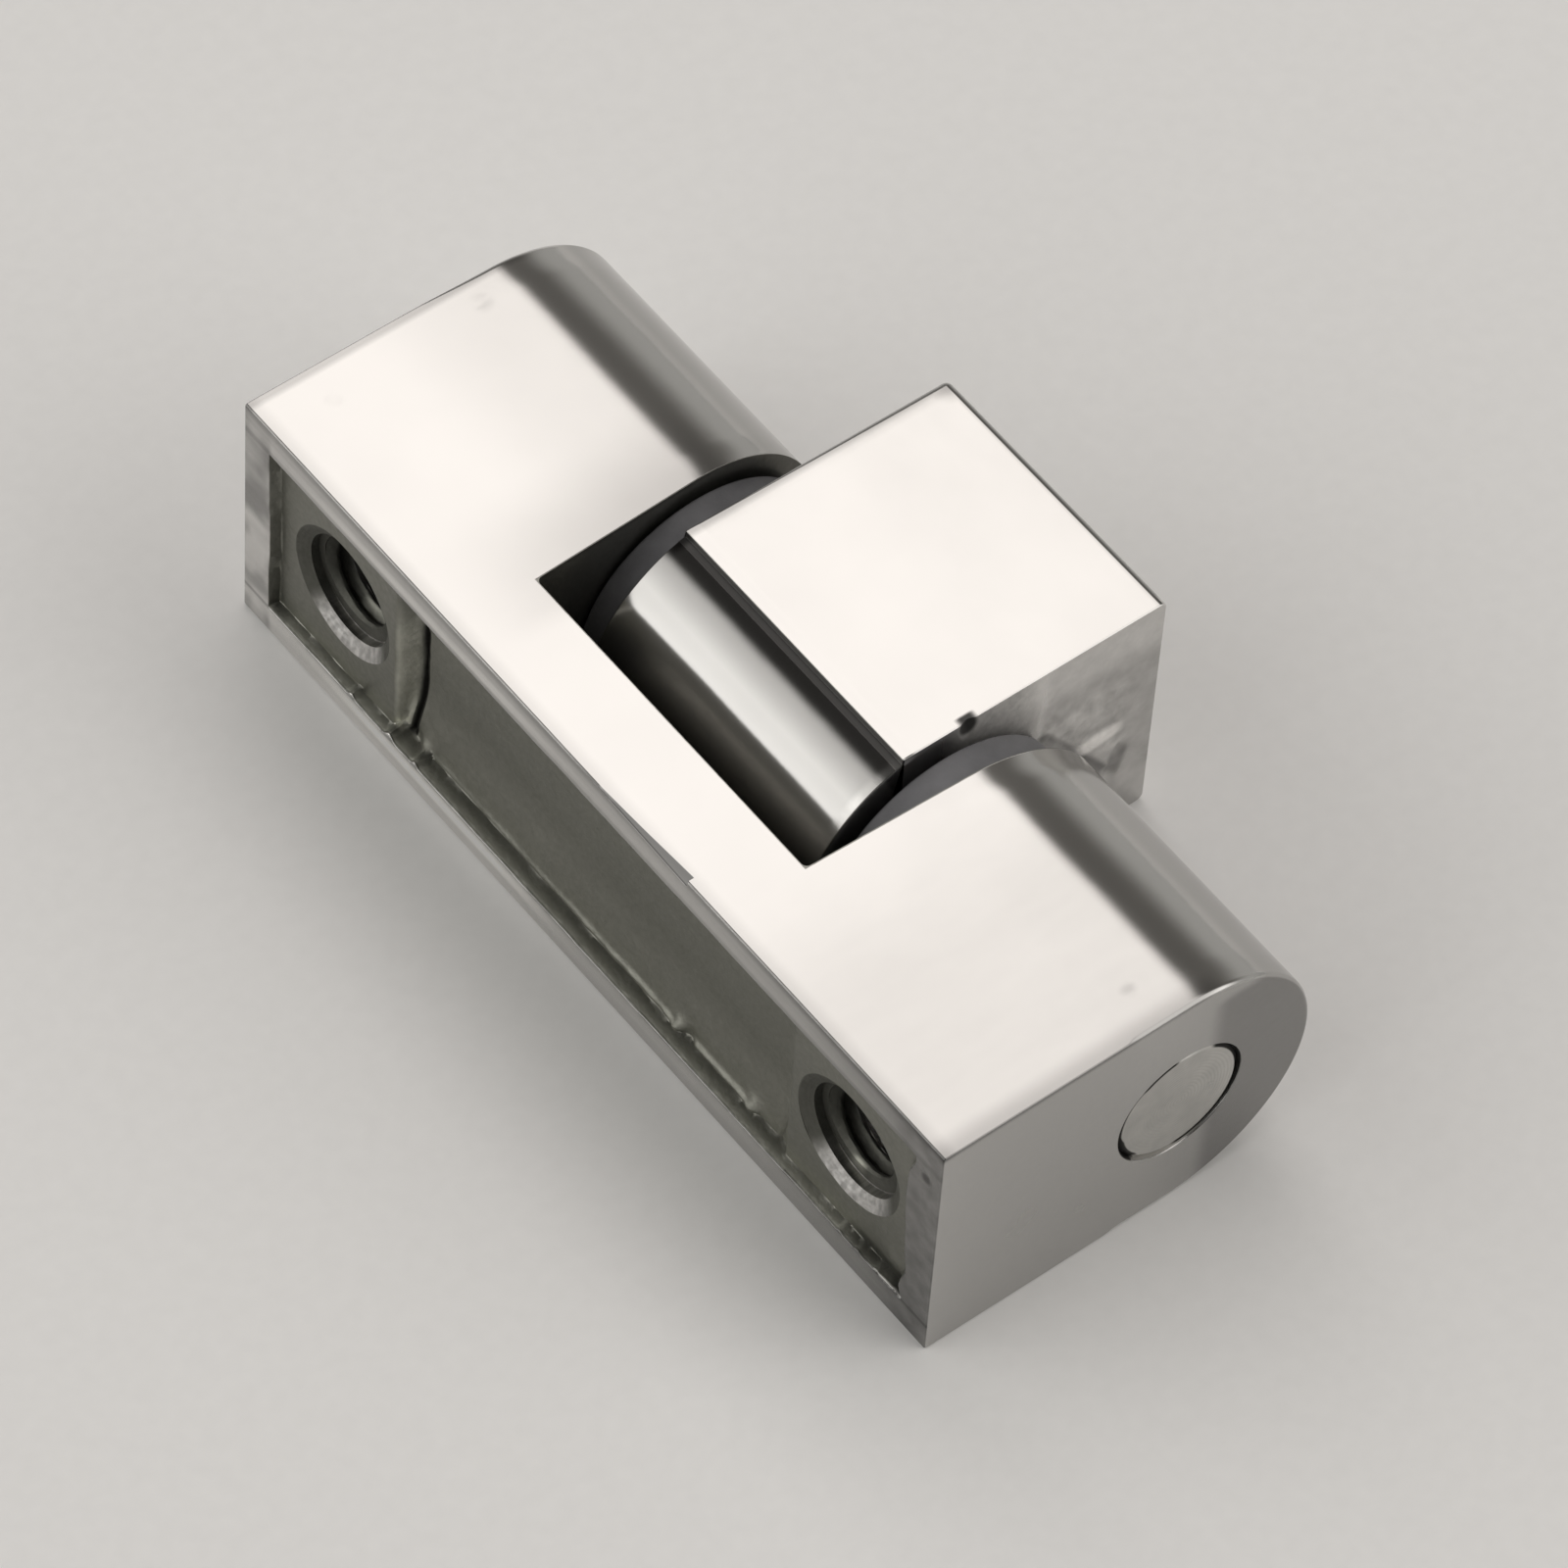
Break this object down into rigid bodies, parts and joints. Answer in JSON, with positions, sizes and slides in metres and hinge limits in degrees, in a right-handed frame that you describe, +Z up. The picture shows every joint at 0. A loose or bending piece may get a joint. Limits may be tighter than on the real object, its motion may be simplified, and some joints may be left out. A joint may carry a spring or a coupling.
{
  "type": "electrical cabinet hinge",
  "caption": "Cast block hinge: a notched frame leaf with threaded mounting bosses, and a short door leaf that turns in the notch on a plain pin between plastic thrust washers.",
  "frame": {"origin": "centre of the frame leaf's mounting face, midway between its threaded holes", "axes": "+X from the frame mounting face towards the door leaf, +Y along the hinge pin, +Z up with the open hinge lying on its flat side"},
  "size_m": [0.0316, 0.06, 0.0176],
  "materials": {
    "plated_casting": "bright nickel-chrome plating over a zinc casting, polished on the outside and as cast in the recesses",
    "pin_steel": "turned steel with a fine brushed end",
    "washer_plastic": "dark grey moulded plastic"
  },
  "bodies": {
    "frame_side": {"frame_leaf": "plated_casting", "hinge_pin": "pin_steel", "near_washer": "washer_plastic", "far_washer": "washer_plastic"},
    "door_side": {"door_leaf": "plated_casting"}
  },
  "joints": [
    {"name": "door_swing", "type": "hinge", "parent": "frame_side", "child": "door_side", "pos_m": [0.01625, 0, 0], "axis": [0, 1, 0], "range_deg": [-95, 95]}
  ]
}
